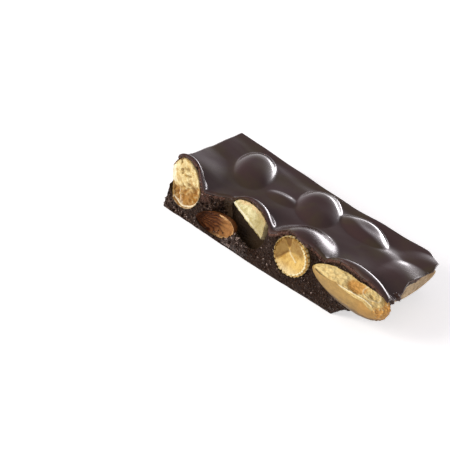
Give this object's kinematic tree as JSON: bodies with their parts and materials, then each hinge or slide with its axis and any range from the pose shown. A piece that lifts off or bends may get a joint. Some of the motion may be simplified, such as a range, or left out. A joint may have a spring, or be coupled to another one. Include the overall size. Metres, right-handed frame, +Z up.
{
  "type": "chocolate bark",
  "caption": "Snapped piece of dark chocolate bark with a glossy, bumpy top over whole almonds and broken almonds showing in its rough edges.",
  "frame": {"origin": "middle of the whole piece's box, on the flat underside that it lies on", "axes": "+X along the long broken front edge towards the overhanging right end, +Y from the broken front face to the straight back edge, +Z up out of the glossy top"},
  "size_m": [0.0636, 0.0306, 0.0149],
  "materials": {
    "dark_chocolate": "glossy dark chocolate on top, dull and granular where it is broken",
    "almond_cream": "rough broken nut flesh, pale cream yellow",
    "almond_brown_skin": "papery brown nut skin with lengthwise ridges",
    "almond_pale": "grainy broken nut flesh, pale greenish cream",
    "almond_golden": "roasted nut flesh, golden tan with radial fibres",
    "almond_tan": "smooth blanched nut, satin tan, with a rough split face"
  },
  "bodies": {
    "root": {"chocolate_slab": "dark_chocolate", "almond_left_corner": "almond_cream", "almond_skin": "almond_brown_skin", "almond_half": "almond_pale", "almond_round": "almond_golden", "almond_long": "almond_tan", "almond_right_end": "almond_tan"}
  },
  "joints": []
}
